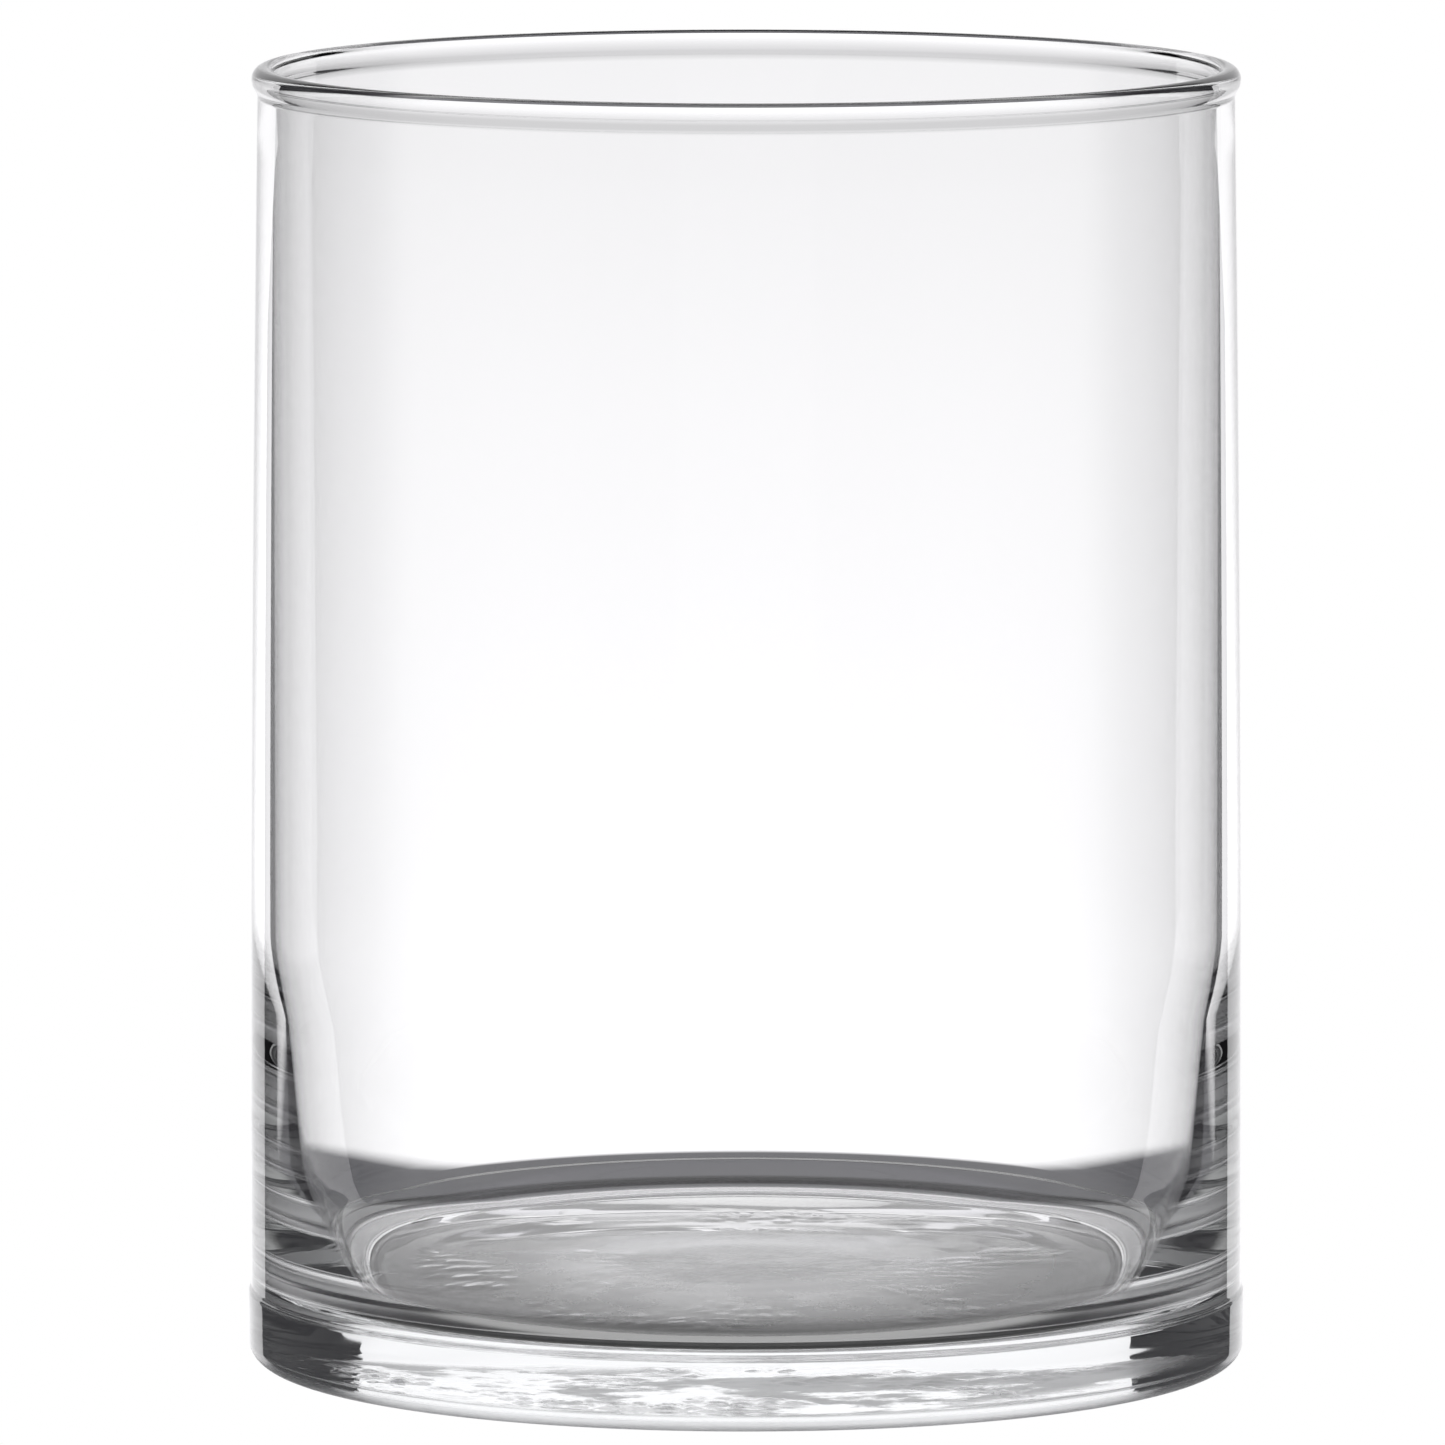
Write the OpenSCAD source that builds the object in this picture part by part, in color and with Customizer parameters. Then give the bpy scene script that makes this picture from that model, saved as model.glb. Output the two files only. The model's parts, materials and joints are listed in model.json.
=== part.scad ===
// Cylinder vase of clear pressed glass, in millimetres.
// One piece of glass: a thick base with a foot, a heel that thickens towards the base,
// a wall that draws in a little towards the top, and a fire-polished bead round the rim.
// The origin is the middle of the face it stands on, with +Z up the vase's axis.

/* [Well] */
// Inside diameter of the straight well, from the heel up to the rim
well_d = 145.2; // [110:0.1:180]
// Height of the vase, from the table to the top of the rim
height = 200; // [150:1:300]

/* [Wall] */
// Thickness of the wall just under the rim
wall_t = 2.2; // [1.8:0.05:2.6]
// Thickness of the wall where it leaves the foot, above the heel's own thickening
wall_low_t = 3.75; // [3.1:0.05:5]

/* [Rim] */
// Diameter of the bead's round section, as the flame leaves it
bead_d = 3.7; // [3.5:0.1:5]
// Depth that the straight well trims off the inside of the bead's round section
bead_trim = 0.55; // [0.1:0.05:0.6]

/* [Heel] */
// Height above the table at which the inside of the wall starts to close in
heel_h = 68; // [60:1:90]
// Angle from the vase's axis of the upper heel, which is straight, in degrees
heel_angle = 5.2; // [3:0.2:7]
// Radius of the bend from the straight well into the upper heel
heel_bend_r = 130; // [60:5:160]
// Angle from the vase's axis at which the lower heel runs into the floor's fillet, in degrees
heel_low_angle = 16; // [12:1:20]
// Radius of the lower heel's bend
heel_low_r = 90; // [50:5:110]
// Radius of the fillet between the heel and the floor
floor_fillet_r = 10; // [6:0.5:12]

/* [Base] */
// Height of the floor inside, above the table
floor_h = 9.5; // [7:0.5:12]
// Depth of the shallow panel in the underside
panel_depth = 1; // [0.4:0.1:2]
// Width of the flat ring that the vase stands on
ring_w = 8; // [4:0.5:14]

/* [Foot] */
// Height of the foot, up to the line where it steps in to the wall
foot_h = 12; // [9:0.5:16]
// How far the foot stands out from the wall
foot_step = 0.45; // [0.2:0.05:0.9]
// Radius of the foot's lower edge
foot_edge_r = 3.5; // [1.5:0.5:4]
// Radius of the foot's upper edge
foot_shoulder_r = 1.2; // [1:0.1:2]

/* [Hidden] */

// number of straight bands that follow the wall's slight curve
wall_bands = 8;
// number of straight bands that follow each of the heel's bends
bend_bands = 6;
// how far a cut runs past the face it opens
over = 1;

well_r = well_d / 2;
wall_foot_r = well_r + wall_low_t;
foot_r = wall_foot_r + foot_step;
bead_r = bead_d / 2;
bead_z = height - bead_r;

// Outside radius of the wall at height z: it draws in as the square of the height above the foot.
function wall_outer_r(z) =
    wall_foot_r - (wall_low_t - wall_t) * pow((z - foot_h) / (bead_z - foot_h), 2);

// Points down a bend of radius r that starts at a point and turns from one angle off the axis to another.
function bend(start, r, from, to) = [
    for (i = [0 : bend_bands])
        let (a = from + (to - from) * i / bend_bands)
            start - r * [cos(from) - cos(a), sin(a) - sin(from)]];

// The heel runs down from the straight well: a bend, a straight stretch, a second bend, then the
// fillet. The straight stretch takes up the height that the three curves leave.
upper_bend = bend([well_r, heel_h], heel_bend_r, 0, heel_angle);
upper_end = upper_bend[bend_bands];
fillet_z = floor_h + floor_fillet_r;
lower_top = fillet_z - floor_fillet_r * sin(heel_low_angle)
    + heel_low_r * (sin(heel_low_angle) - sin(heel_angle));
straight_h = upper_end[1] - lower_top;
lower_bend = bend([upper_end[0] - straight_h * tan(heel_angle), lower_top],
    heel_low_r, heel_angle, heel_low_angle);
fillet_x = lower_bend[bend_bands][0] - floor_fillet_r * cos(heel_low_angle);

panel_r = foot_r - foot_edge_r - ring_w;

// Half section of the foot: a disc with both outer edges rounded.
module foot_section() {
    square([foot_r - foot_edge_r, foot_h - foot_shoulder_r]);
    square([foot_r - foot_shoulder_r - foot_edge_r, foot_h]);
    translate([0, foot_edge_r])
        square([foot_r, foot_h - foot_edge_r - foot_shoulder_r]);
    translate([0, foot_edge_r])
        square([foot_r - foot_shoulder_r, foot_h - foot_edge_r]);
    translate([foot_r - foot_edge_r, foot_edge_r])
        circle(r = foot_edge_r, $fn = 48);
    translate([foot_r - foot_shoulder_r, foot_h - foot_shoulder_r])
        circle(r = foot_shoulder_r, $fn = 48);
}

// Half section of the body inside the wall's outer face, from the foot up into the bead.
module wall_section() {
    band_h = (bead_z - foot_h) / wall_bands;
    outer_face = [for (i = [0 : wall_bands]) let (z = foot_h + i * band_h) [wall_outer_r(z), z]];
    polygon(concat([[0, bead_z], [0, foot_edge_r], [wall_foot_r, foot_edge_r]], outer_face));
}

// Half section of the bead. The well trims its inside, so that the bead is flush with the straight wall.
module bead_section() {
    translate([well_r - bead_trim + bead_r, bead_z])
        circle(r = bead_r, $fn = 48);
}

// Half section of the well: straight, then closing in down the heel, with a fillet into a flat floor.
module well_section() {
    polygon(concat(
        [[0, height + over], [well_r, height + over]],
        upper_bend,
        lower_bend,
        [[fillet_x, fillet_z], [0, fillet_z]]));
    translate([0, floor_h])
        square([fillet_x, floor_fillet_r]);
    translate([fillet_x, fillet_z])
        circle(r = floor_fillet_r, $fn = 96);
}

// Half section of the shallow panel in the underside, with a bevelled edge.
module panel_section() {
    polygon([[0, -over], [panel_r + over, -over], [panel_r - panel_depth, panel_depth], [0, panel_depth]]);
}

module glass_vase() {
    color([0.93, 0.96, 0.96, 0.35])
        rotate_extrude($fn = 180)
            difference() {
                union() {
                    foot_section();
                    wall_section();
                    bead_section();
                }
                well_section();
                panel_section();
            }
}

glass_vase();
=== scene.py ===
# A cylinder vase of clear pressed glass, standing on a pale floor in front of a soft light.
import json
import math

import bpy
import numpy as np
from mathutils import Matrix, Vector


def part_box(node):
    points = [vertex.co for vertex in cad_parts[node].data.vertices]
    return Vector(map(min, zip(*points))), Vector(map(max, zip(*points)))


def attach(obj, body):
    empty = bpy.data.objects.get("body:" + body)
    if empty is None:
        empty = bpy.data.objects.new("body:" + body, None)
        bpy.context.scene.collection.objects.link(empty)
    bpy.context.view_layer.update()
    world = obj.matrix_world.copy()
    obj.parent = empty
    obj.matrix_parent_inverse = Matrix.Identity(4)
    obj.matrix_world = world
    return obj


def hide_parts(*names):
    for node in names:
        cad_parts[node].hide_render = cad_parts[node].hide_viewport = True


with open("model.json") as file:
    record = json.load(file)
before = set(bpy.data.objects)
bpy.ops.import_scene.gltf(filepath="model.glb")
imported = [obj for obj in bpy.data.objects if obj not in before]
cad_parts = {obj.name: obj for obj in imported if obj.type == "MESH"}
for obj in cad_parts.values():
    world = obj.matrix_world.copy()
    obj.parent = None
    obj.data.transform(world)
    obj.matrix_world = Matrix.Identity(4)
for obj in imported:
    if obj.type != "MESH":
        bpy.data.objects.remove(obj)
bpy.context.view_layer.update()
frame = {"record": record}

# --- The glass vase ---------------------------------------------------------------------------
# The whole vase is one piece of clear soda-lime glass. A plunger presses the well, a mould shapes
# the foot and the wall, and a flame rounds the cut rim. The underside wrinkles as it chills.
MM = 0.001
vase_low, vase_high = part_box("glass_vase")
mouth = {mount["name"]: mount for mount in frame["record"]["mounts"]}["mouth"]
height = vase_high[2]
foot_r = vase_high[0]
well_r = mouth["dims"]["r_mm"] * MM
wall_top_t, wall_low_t = 2.2 * MM, 3.75 * MM
foot_h, foot_edge_r, foot_shoulder_r = 12 * MM, 3.5 * MM, 1.2 * MM
ring_w, panel_depth = 8 * MM, 1 * MM
panel_r = foot_r - foot_edge_r - ring_w
bead_r, bead_sag, rim_r = 1.85 * MM, 1.4, 75.75 * MM
rim_edge_r, neck_r = 0.8 * MM, 1.2 * MM
floor_h, floor_fillet_r = 9.5 * MM, 10 * MM
heel_h, heel_bend_r, heel_angle = 68 * MM, 130 * MM, 5.2
heel_low_r, heel_low_angle = 90 * MM, 16
underside_clear, floor_clear = 56 * MM, 56 * MM
TURNS = 360
UNDERSIDE_ROWS, FILLET_ROWS, FLOOR_ROWS = 60, 24, 44


def straight(start, end, rows):
    """A straight stretch of the half section: even steps from start up to, but not including, end."""
    share = np.arange(rows)[:, None] / rows
    return np.array(start) * (1 - share) + np.array(end) * share


def curved(centre, radius, start, end, rows):
    """A round stretch: centre plus radius times (cosine, sine) of angles from start towards end."""
    turn = np.radians(start + (end - start) * np.arange(rows) / rows)
    return np.array(centre) + radius * np.column_stack([np.cos(turn), np.sin(turn)])


def wall_outside(level):
    """Outer radius of the wall: it draws in as the square of the height above the foot."""
    rise = (level - foot_h) / (height - bead_r - foot_h)
    return well_r + wall_low_t - (wall_low_t - wall_top_t) * rise**2


def foot_section():
    """Under the base from the axis out, up over the ring and the foot's rounded edges, to the wall."""
    turn = math.degrees(math.acos(1 - (foot_r - wall_outside(foot_h)) / foot_shoulder_r))
    bevel_r = panel_r - panel_depth
    return np.vstack([
        straight([0, panel_depth], [bevel_r, panel_depth], UNDERSIDE_ROWS),
        straight([bevel_r, panel_depth], [panel_r, 0], 3),
        straight([panel_r, 0], [foot_r - foot_edge_r, 0], 7),
        curved([foot_r - foot_edge_r, foot_edge_r], foot_edge_r, -90, 0, 14),
        straight([foot_r, foot_edge_r], [foot_r, foot_h - foot_shoulder_r], 4),
        curved([foot_r - foot_shoulder_r, foot_h - foot_shoulder_r], foot_shoulder_r, 0, turn, 7),
    ])


def wall_and_rim_section():
    """Up the wall's outer curve, through a hollow neck, round the sagging bead, and into the well."""
    start = foot_h - 0.1 * MM
    bead_x, bead_z = rim_r - bead_r, height - bead_r
    neck_x = wall_outside(bead_z - 2 * bead_r) + neck_r
    neck_turn = math.degrees(math.acos((neck_x - bead_x) / (bead_r + neck_r)))
    neck_drop = (bead_r + neck_r) * math.sin(math.radians(neck_turn))
    neck_z = bead_z - bead_sag * neck_drop
    level = np.append(start, straight([0, start + 0.2 * MM], [0, neck_z], 20)[:, 1])
    edge_x = well_r + rim_edge_r
    edge_z = bead_z + math.sqrt((bead_r - rim_edge_r) ** 2 - (bead_x - edge_x) ** 2)
    rim_turn = math.degrees(math.atan2(edge_z - bead_z, edge_x - bead_x))
    bead = np.vstack([
        curved([neck_x, bead_z - neck_drop], neck_r, 180, 180 - neck_turn, 7),
        curved([bead_x, bead_z], bead_r, -neck_turn, rim_turn, 24),
    ])
    bead[:, 1] = bead_z + (bead[:, 1] - bead_z) * np.where(bead[:, 1] < bead_z, bead_sag, 1)
    return np.vstack([
        np.column_stack([wall_outside(level), level]),
        bead,
        curved([edge_x, edge_z], rim_edge_r, rim_turn, 180, 6),
        straight([well_r, edge_z], [well_r, heel_h], 14),
    ])


def well_section():
    """Down the heel: a bend, a straight stretch, a second bend, the fillet, then in along the floor."""
    steep, low = math.radians(heel_angle), math.radians(heel_low_angle)
    bend_x = well_r - heel_bend_r
    top = [bend_x + heel_bend_r * math.cos(steep), heel_h - heel_bend_r * math.sin(steep)]
    fillet_z = floor_h + floor_fillet_r
    low_z = fillet_z - floor_fillet_r * math.sin(low) + heel_low_r * math.sin(low)
    low_x = top[0] - heel_low_r * math.cos(steep)
    low_x -= (top[1] - low_z + heel_low_r * math.sin(steep)) * math.tan(steep)
    bottom = [low_x + heel_low_r * math.cos(steep), low_z - heel_low_r * math.sin(steep)]
    fillet_x = low_x + (heel_low_r - floor_fillet_r) * math.cos(low)
    return np.vstack([
        curved([bend_x, heel_h], heel_bend_r, 0, -heel_angle, 8),
        straight(top, bottom, 4),
        curved([low_x, low_z], heel_low_r, -heel_angle, -heel_low_angle, 12),
        curved([fillet_x, fillet_z], floor_fillet_r, -heel_low_angle, -90, FILLET_ROWS),
        straight([fillet_x, floor_h], [0, floor_h], FLOOR_ROWS),
        [[0, floor_h]],
    ])


def swell(x, y, length, seed, waves=40):
    """A random even surface: the sum of cosine waves of about one length, each running its own way."""
    rng = np.random.default_rng(seed)
    way, start = rng.uniform(0, 2 * math.pi, (2, waves))
    pitch = 2 * math.pi / length * rng.uniform(0.6, 1.5, waves)
    total = 0 * (x + y)
    for w, s, p in zip(way, start, pitch):
        total = total + np.cos(p * (x * math.cos(w) + y * math.sin(w)) + s)
    return total / math.sqrt(waves / 2)


def ease(value, start, end):
    """A smooth step from 0 at start to 1 at end."""
    share = np.clip((value - start) / (end - start), 0, 1)
    return share * share * (3 - 2 * share)


def chill_wrinkles(x, y, radius):
    """Height of the underside's wrinkles: a broad swell, with fine folds in patches, fading at the ring."""
    patch = ease(swell(x, y, 40 * MM, 11), -0.9, 0.2) * ease(radius, 1 * MM, 6 * MM)
    patch = patch * (1 - ease(y, 2 * MM, 12 * MM) * (1 - ease(y, 38 * MM, 48 * MM)))
    folds = 0.02 * swell(x, y, 22 * MM, 5) + 0.17 * patch * np.abs(swell(x, y, 6 * MM, 6))
    return folds * MM * (1 - ease(radius, underside_clear - 10 * MM, underside_clear))


def plunger_rings(x, y, radius):
    """Lift of the floor: faint uneven rings from the plunger on a slow swell, and a shallow dish."""
    rings = np.cos(2 * math.pi * radius / (7 * MM) + 1.5 * swell(x, y, 60 * MM, 8))
    waves = (0.02 * rings + 0.008 * swell(x, y, 40 * MM, 9)) * ease(radius, 0, 6 * MM)
    waves = waves * (1 - ease(radius, floor_clear - 6 * MM, floor_clear))
    dish = 1.2 * (radius / floor_clear) ** 2 * (1 - ease(radius, floor_clear, floor_clear + 9 * MM))
    return (waves + dish) * MM


def vase_mesh():
    """The half section turned about the axis: (r cos a, r sin a, z) on a grid, closed at both poles."""
    section = np.vstack([foot_section(), wall_and_rim_section(), well_section()])
    angle = np.linspace(0, 2 * math.pi, TURNS, endpoint=False)
    radius, level = section[1:-1, 0:1], section[1:-1, 1:2]
    x, y = radius * np.cos(angle), radius * np.sin(angle)
    row = np.arange(1, len(section) - 1)[:, None]
    under, inside = row < UNDERSIDE_ROWS, row > len(section) - FLOOR_ROWS - FILLET_ROWS - 2
    z = level + under * chill_wrinkles(x, y, radius) + inside * plunger_rings(x, y, radius)
    grid = np.stack([x, y, z], axis=-1).reshape(-1, 3)
    points = np.vstack([[[0, 0, panel_depth]], grid, [[0, 0, floor_h]]])
    here = 1 + np.arange(z.size).reshape(z.shape)
    beside = np.roll(here, -1, axis=1)
    sides = np.stack([here[:-1], beside[:-1], beside[1:], here[1:]], axis=-1).reshape(-1, 4)
    base_pole = np.column_stack([np.zeros(TURNS, int), beside[0], here[0]])
    floor_pole = np.column_stack([here[-1], beside[-1], np.full(TURNS, len(points) - 1)])
    mesh = bpy.data.meshes.new("vase_glass")
    mesh.from_pydata(points.tolist(), [], sides.tolist() + base_pole.tolist() + floor_pole.tolist())
    mesh.polygons.foreach_set("use_smooth", np.ones(len(mesh.polygons), bool))
    mesh.update()
    return mesh


def fade(tree, value, start, end, low, high, kind="LINEAR"):
    """A socket that goes from low to high as the value's socket goes from start to end."""
    node = tree.nodes.new("ShaderNodeMapRange")
    node.interpolation_type = kind
    for name, number in (("From Min", start), ("From Max", end), ("To Min", low), ("To Max", high)):
        node.inputs[name].default_value = number
    tree.links.new(value, node.inputs["Value"])
    return node.outputs[0]


def joined(tree, operation, first, second):
    """A socket that multiplies or adds two sockets."""
    node = tree.nodes.new("ShaderNodeMath")
    node.operation = operation
    tree.links.new(first, node.inputs[0])
    tree.links.new(second, node.inputs[1])
    return node.outputs[0]


def clear_glass():
    """Clear glass with a faint tint, hazy on the floor, patchy where it chilled, worn on the ring."""
    glass = bpy.data.materials.new("clear_glass")
    glass.use_nodes = True
    tree = glass.node_tree
    shader = tree.nodes["Principled BSDF"]
    shader.inputs["Base Color"].default_value = (1, 1, 1, 1)
    shader.inputs["Transmission Weight"].default_value = 1
    shader.inputs["IOR"].default_value = 1.52
    where = tree.nodes.new("ShaderNodeTexCoord").outputs["Object"]
    apart = tree.nodes.new("ShaderNodeSeparateXYZ")
    tree.links.new(where, apart.inputs[0])
    flat = tree.nodes.new("ShaderNodeVectorMath")
    flat.operation = "MULTIPLY"
    flat.inputs[1].default_value = (1, 1, 0)
    tree.links.new(where, flat.inputs[0])
    reach = tree.nodes.new("ShaderNodeVectorMath")
    reach.operation = "LENGTH"
    tree.links.new(flat.outputs[0], reach.inputs[0])
    from_axis = reach.outputs["Value"]
    near_floor = tree.nodes.new("ShaderNodeMath")
    near_floor.operation = "COMPARE"
    near_floor.inputs[1].default_value = floor_h
    near_floor.inputs[2].default_value = 0.2 * MM
    tree.links.new(apart.outputs["Z"], near_floor.inputs[0])
    mottle = tree.nodes.new("ShaderNodeTexNoise")
    mottle.inputs["Scale"].default_value = 34
    mottle.inputs["Detail"].default_value = 8
    mottle.inputs["Roughness"].default_value = 0.7
    tree.links.new(where, mottle.inputs["Vector"])
    haze = fade(tree, from_axis, 52 * MM, 30 * MM, 0, 0.26)
    beneath = fade(tree, apart.outputs["Z"], 3.5 * MM, 1.5 * MM, 0, 1)
    chill = fade(tree, mottle.outputs["Fac"], 0.47, 0.53, 0.1, 0.42)
    clean = fade(tree, apart.outputs["Y"], 2 * MM, 12 * MM, 1, 0.1, "SMOOTHSTEP")
    chilled = fade(tree, from_axis, underside_clear, underside_clear - 10 * MM, 0, 1)
    worn = fade(tree, from_axis, panel_r - 2 * MM, panel_r, 0, 0.34)
    patches = beneath
    for factor in (chill, clean, chilled):
        patches = joined(tree, "MULTIPLY", patches, factor)
    roughness = joined(tree, "MULTIPLY", near_floor.outputs[0], haze)
    for part in (patches, joined(tree, "MULTIPLY", beneath, worn)):
        roughness = joined(tree, "ADD", roughness, part)
    tree.links.new(roughness, shader.inputs["Roughness"])
    tint = tree.nodes.new("ShaderNodeVolumeAbsorption")
    tint.inputs["Color"].default_value = (0.88, 0.91, 0.92, 1)
    tint.inputs["Density"].default_value = 2.5
    tree.links.new(tint.outputs[0], tree.nodes["Material Output"].inputs["Volume"])
    return glass


vase = bpy.data.objects.new("vase_glass", vase_mesh())
bpy.context.scene.collection.objects.link(vase)
vase.data.materials.append(clear_glass())
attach(vase, "root")
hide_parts("glass_vase")


# --- The floor --------------------------------------------------------------------------------
# A plain pale sheet that the vase stands on. It is lit evenly, and the glass doesn't pick it up.
# A small disc of painted shade lies under the base and shows through it: a dim glow, dimmer towards its
# rim, that stands in for the shade under the vase.
FLOOR_REACH = 3


def flat_sheet(name, corners):
    """The corners joined in order as one flat face."""
    mesh = bpy.data.meshes.new(name)
    mesh.from_pydata(corners, [], [range(len(corners))])
    piece = bpy.data.objects.new(name, mesh)
    bpy.context.scene.collection.objects.link(piece)
    return piece


def glow(name, colour):
    """A material that only gives off light of one colour; returns it with its light node."""
    paint = bpy.data.materials.new(name)
    paint.use_nodes = True
    tree = paint.node_tree
    tree.nodes.remove(tree.nodes["Principled BSDF"])
    light = tree.nodes.new("ShaderNodeEmission")
    light.inputs["Color"].default_value = colour
    tree.links.new(light.outputs[0], tree.nodes["Material Output"].inputs["Surface"])
    return paint, light


def painted_shade_glow():
    """Painted shade for the disc: a glow of 0.34 out to 20 mm from its middle, easing down to 0.03 at 44
    mm.
    """
    paint, light = glow("floor_shaded", (0.98, 0.98, 1, 1))
    tree = paint.node_tree
    where = tree.nodes.new("ShaderNodeTexCoord")
    reach = tree.nodes.new("ShaderNodeVectorMath")
    reach.operation = "LENGTH"
    tree.links.new(where.outputs["Object"], reach.inputs[0])
    depth = fade(tree, reach.outputs["Value"], 20 * MM, 44 * MM, 0.34, 0.03, "SMOOTHSTEP")
    tree.links.new(depth, light.inputs["Strength"])
    return paint


floor = flat_sheet("floor", [(-FLOOR_REACH, -FLOOR_REACH, 0), (FLOOR_REACH, -FLOOR_REACH, 0),
                             (FLOOR_REACH, FLOOR_REACH, 0), (-FLOOR_REACH, FLOOR_REACH, 0)])
floor.data.materials.append(glow("floor_white", (1, 1, 1, 1))[0])
for use in ("visible_glossy", "visible_transmission", "visible_diffuse", "visible_shadow"):
    setattr(floor, use, False)

# The disc of painted shade sits just above the floor, inside the base's recess.
shade_r, shade_lift = panel_r - 1.5 * MM, 0.05 * MM
shade_turn = np.linspace(0, 2 * math.pi, 96, endpoint=False)
shade_rim = [shade_r * np.cos(shade_turn), shade_r * np.sin(shade_turn), np.full(96, shade_lift)]
shade = flat_sheet("floor_shade", np.column_stack(shade_rim).tolist())
shade.data.materials.append(painted_shade_glow())


# --- The light panel --------------------------------------------------------------------------
# One large soft panel stands behind the vase and leans back a little on its stand. It is
# brightest just above the base's level, and fades upwards and towards its sides.
PANEL_LOW_HALF_W, PANEL_HIGH_HALF_W, PANEL_BEHIND = 0.375, 0.50, 0.55
PANEL_LOW, PANEL_TOP = -0.42, 1.2
PANEL_BRIGHTEST, PANEL_SIDE_SHARE = 1.36, 0.94
PANEL_LEAN = 0.115
DIM_BELOW = -0.215
PANEL_SHADES = [(-0.42, 0.02), (-0.37, 0.115), (-0.219, 0.115), (-0.207, 0.90), (-0.10, 0.88),
                (0.0, 0.83), (0.05, 0.79), (0.10, 0.735), (0.17, 0.62), (0.25, 0.50), (0.42, 0.50),
                (0.50, 0.12), (0.70, 0.04)]


def panel_paint():
    """Light that is dim below, jumps up at the level of the vase's base, and fades upwards."""
    paint, light = glow("panel_light", (1, 1, 1, 1))
    tree = paint.node_tree
    where = tree.nodes.new("ShaderNodeTexCoord")
    apart = tree.nodes.new("ShaderNodeSeparateXYZ")
    tree.links.new(where.outputs["Object"], apart.inputs[0])
    shades = tree.nodes.new("ShaderNodeValToRGB")
    panel_high = PANEL_SHADES[-1][0]
    ends = shades.color_ramp.elements
    ends[0].color = (PANEL_SHADES[0][1],) * 3 + (1,)
    ends[1].color = (PANEL_SHADES[-1][1],) * 3 + (1,)
    for level, shade in PANEL_SHADES[1:-1]:
        cool = 1.06 if level < DIM_BELOW else 1
        place = (level - PANEL_LOW) / (panel_high - PANEL_LOW)
        ends.new(place).color = (shade * 0.99 / cool, shade * 0.985 / cool, shade, 1)
    tree.links.new(fade(tree, apart.outputs["Z"], PANEL_LOW, panel_high, 0, 1), shades.inputs[0])
    tree.links.new(shades.outputs["Color"], light.inputs["Color"])
    across = tree.nodes.new("ShaderNodeMath")
    across.operation = "ABSOLUTE"
    tree.links.new(apart.outputs["X"], across.inputs[0])
    strength = fade(tree, across.outputs[0], 0.33, 0.42, PANEL_BRIGHTEST,
                    PANEL_BRIGHTEST * PANEL_SIDE_SHARE, "SMOOTHSTEP")
    tree.links.new(strength, light.inputs["Strength"])
    return paint


half_outline = [(PANEL_LOW_HALF_W, PANEL_LOW), (PANEL_LOW_HALF_W, 0.07), (PANEL_HIGH_HALF_W, 0.12),
                (PANEL_HIGH_HALF_W, PANEL_TOP)]
panel = flat_sheet("light_panel", [(x, PANEL_BEHIND, z) for x, z in half_outline]
                   + [(-x, PANEL_BEHIND, z) for x, z in reversed(half_outline)])
panel.data.materials.append(panel_paint())
for use in ("visible_camera", "visible_diffuse", "visible_shadow"):
    setattr(panel, use, False)
panel_stand = bpy.data.objects.new("panel_stand", None)
bpy.context.scene.collection.objects.link(panel_stand)
panel_stand.location = (0, 0, height / 2)
panel_stand.rotation_euler = (-PANEL_LEAN, 0, 0)
panel.parent = panel_stand


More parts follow.
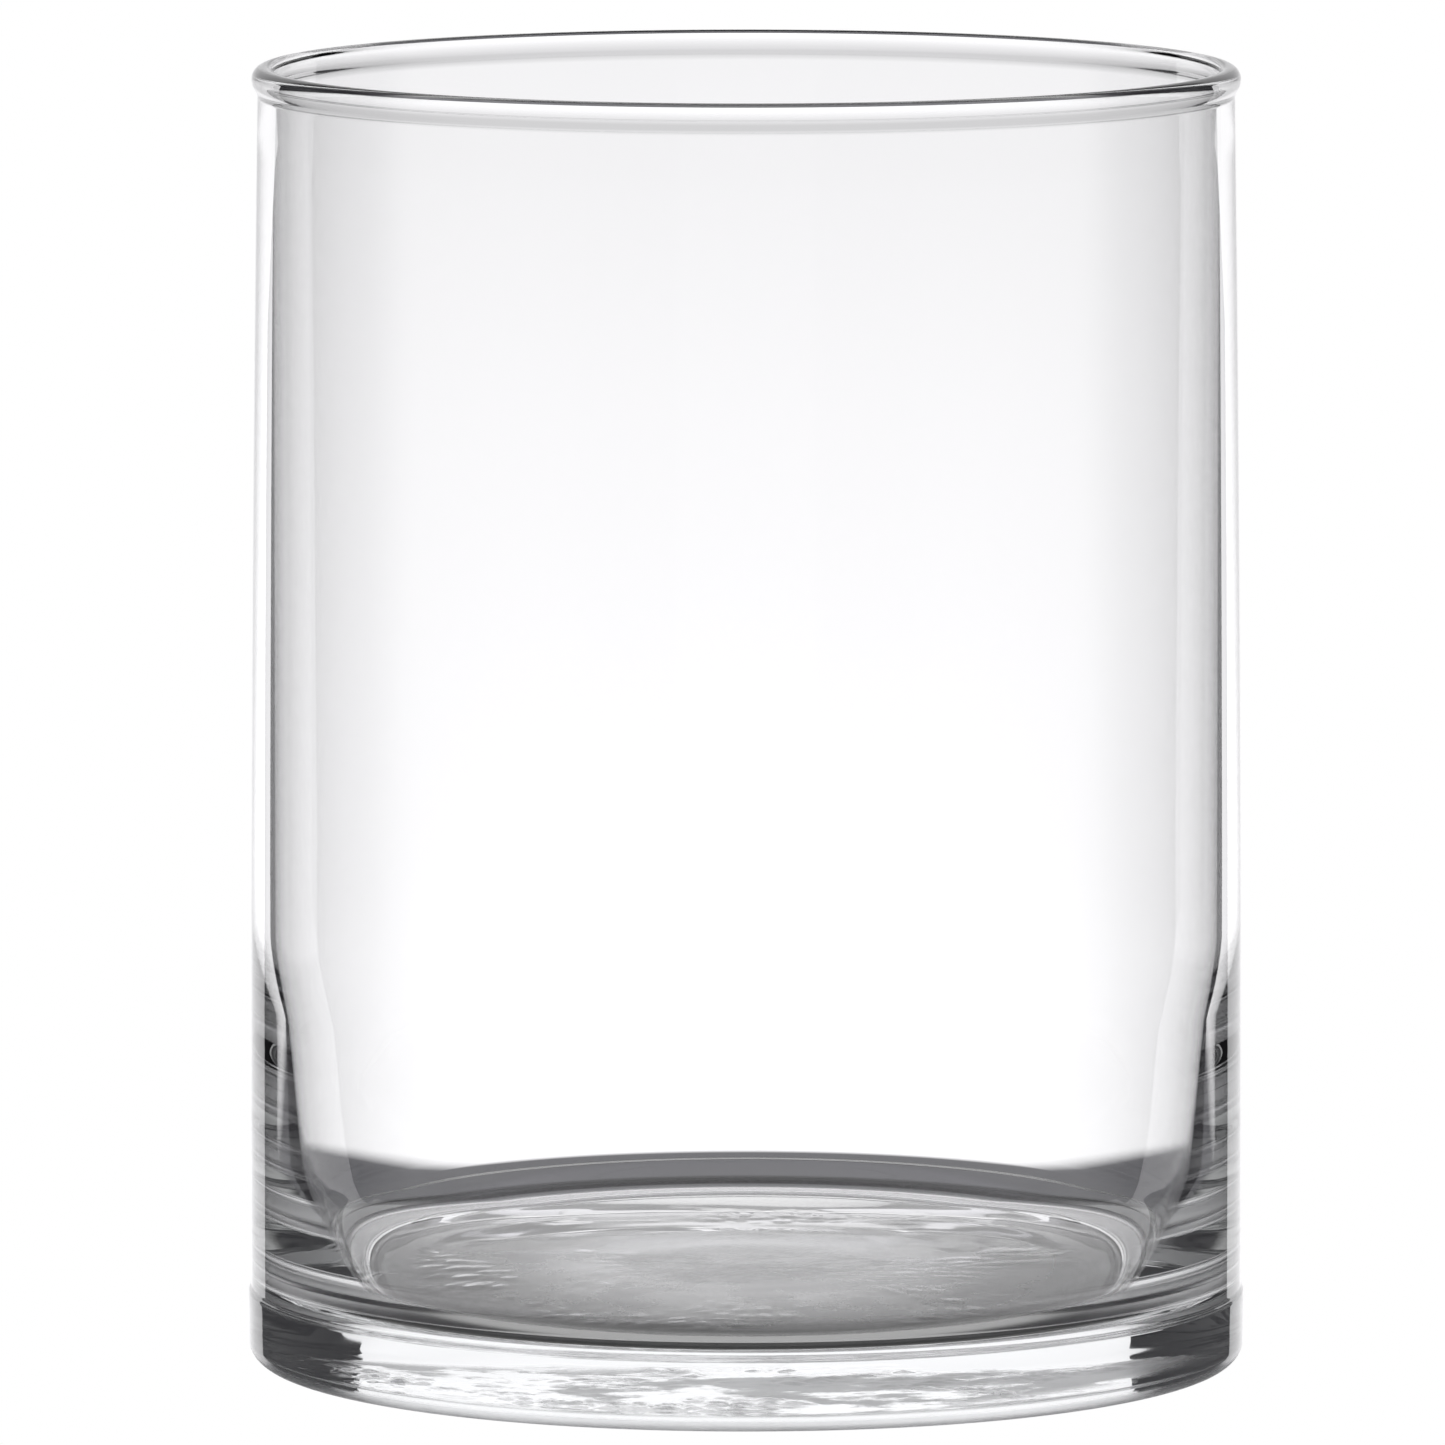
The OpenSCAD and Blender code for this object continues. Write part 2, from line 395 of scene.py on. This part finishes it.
# --- The studio -------------------------------------------------------------------------------
# The backdrop is white to the camera. The glass picks up a dark wall on each side of the panel,
# a grey room at the sides and behind the camera, and a bright ceiling.
STUDIO_SHADES = [(0.0, 0.02), (0.80, 0.035), (0.88, 0.85), (1.0, 0.85)]
ROOM_GREY = 0.4
world = bpy.data.worlds.new("studio")
bpy.context.scene.world = world
world.use_nodes = True
studio = world.node_tree
picked_up = studio.nodes["Background"]
sky = studio.nodes.new("ShaderNodeTexCoord")
apart = studio.nodes.new("ShaderNodeSeparateXYZ")
studio.links.new(sky.outputs["Generated"], apart.inputs[0])
shades = studio.nodes.new("ShaderNodeValToRGB")
ends = shades.color_ramp.elements
ends[0].color = (0.020, 0.019, 0.022, 1)
ends[1].color = (STUDIO_SHADES[-1][1],) * 3 + (1,)
for place, shade in STUDIO_SHADES[1:-1]:
    ends.new(place).color = (shade * 0.98, shade * 0.96, shade * 1.04, 1)
studio.links.new(fade(studio, apart.outputs["Z"], -1, 1, 0, 1), shades.inputs[0])
brighter = studio.nodes.new("ShaderNodeVectorMath")
brighter.operation = "MAXIMUM"
studio.links.new(shades.outputs["Color"], brighter.inputs[0])
studio.links.new(fade(studio, apart.outputs["Y"], 0.20, 0.02, 0, ROOM_GREY), brighter.inputs[1])
studio.links.new(brighter.outputs[0], picked_up.inputs["Color"])
backdrop = studio.nodes.new("ShaderNodeBackground")
backdrop.inputs["Color"].default_value = (1, 1, 1, 1)
path = studio.nodes.new("ShaderNodeLightPath")
choice = studio.nodes.new("ShaderNodeMixShader")
studio.links.new(path.outputs["Is Camera Ray"], choice.inputs["Fac"])
studio.links.new(picked_up.outputs[0], choice.inputs[1])
studio.links.new(backdrop.outputs[0], choice.inputs[2])
studio.links.new(choice.outputs[0], studio.nodes["World Output"].inputs["Surface"])
bpy.context.scene.view_settings.view_transform = "Standard"
bpy.context.scene.cycles.max_bounces = 32
bpy.context.scene.cycles.transmission_bounces = 32
bpy.context.scene.cycles.glossy_bounces = 16


# --- The camera -------------------------------------------------------------------------------
# A long lens stands well back and looks slightly down into the mouth.
lens = bpy.data.cameras.new("camera")
lens.sensor_width = 36
lens.lens = 419.6
camera = bpy.data.objects.new("camera", lens)
bpy.context.scene.collection.objects.link(camera)
camera.location = (0, -2.574, 0.3973)
camera.rotation_euler = (math.pi / 2 - 0.1155, 0, 0.001413)
bpy.context.scene.camera = camera
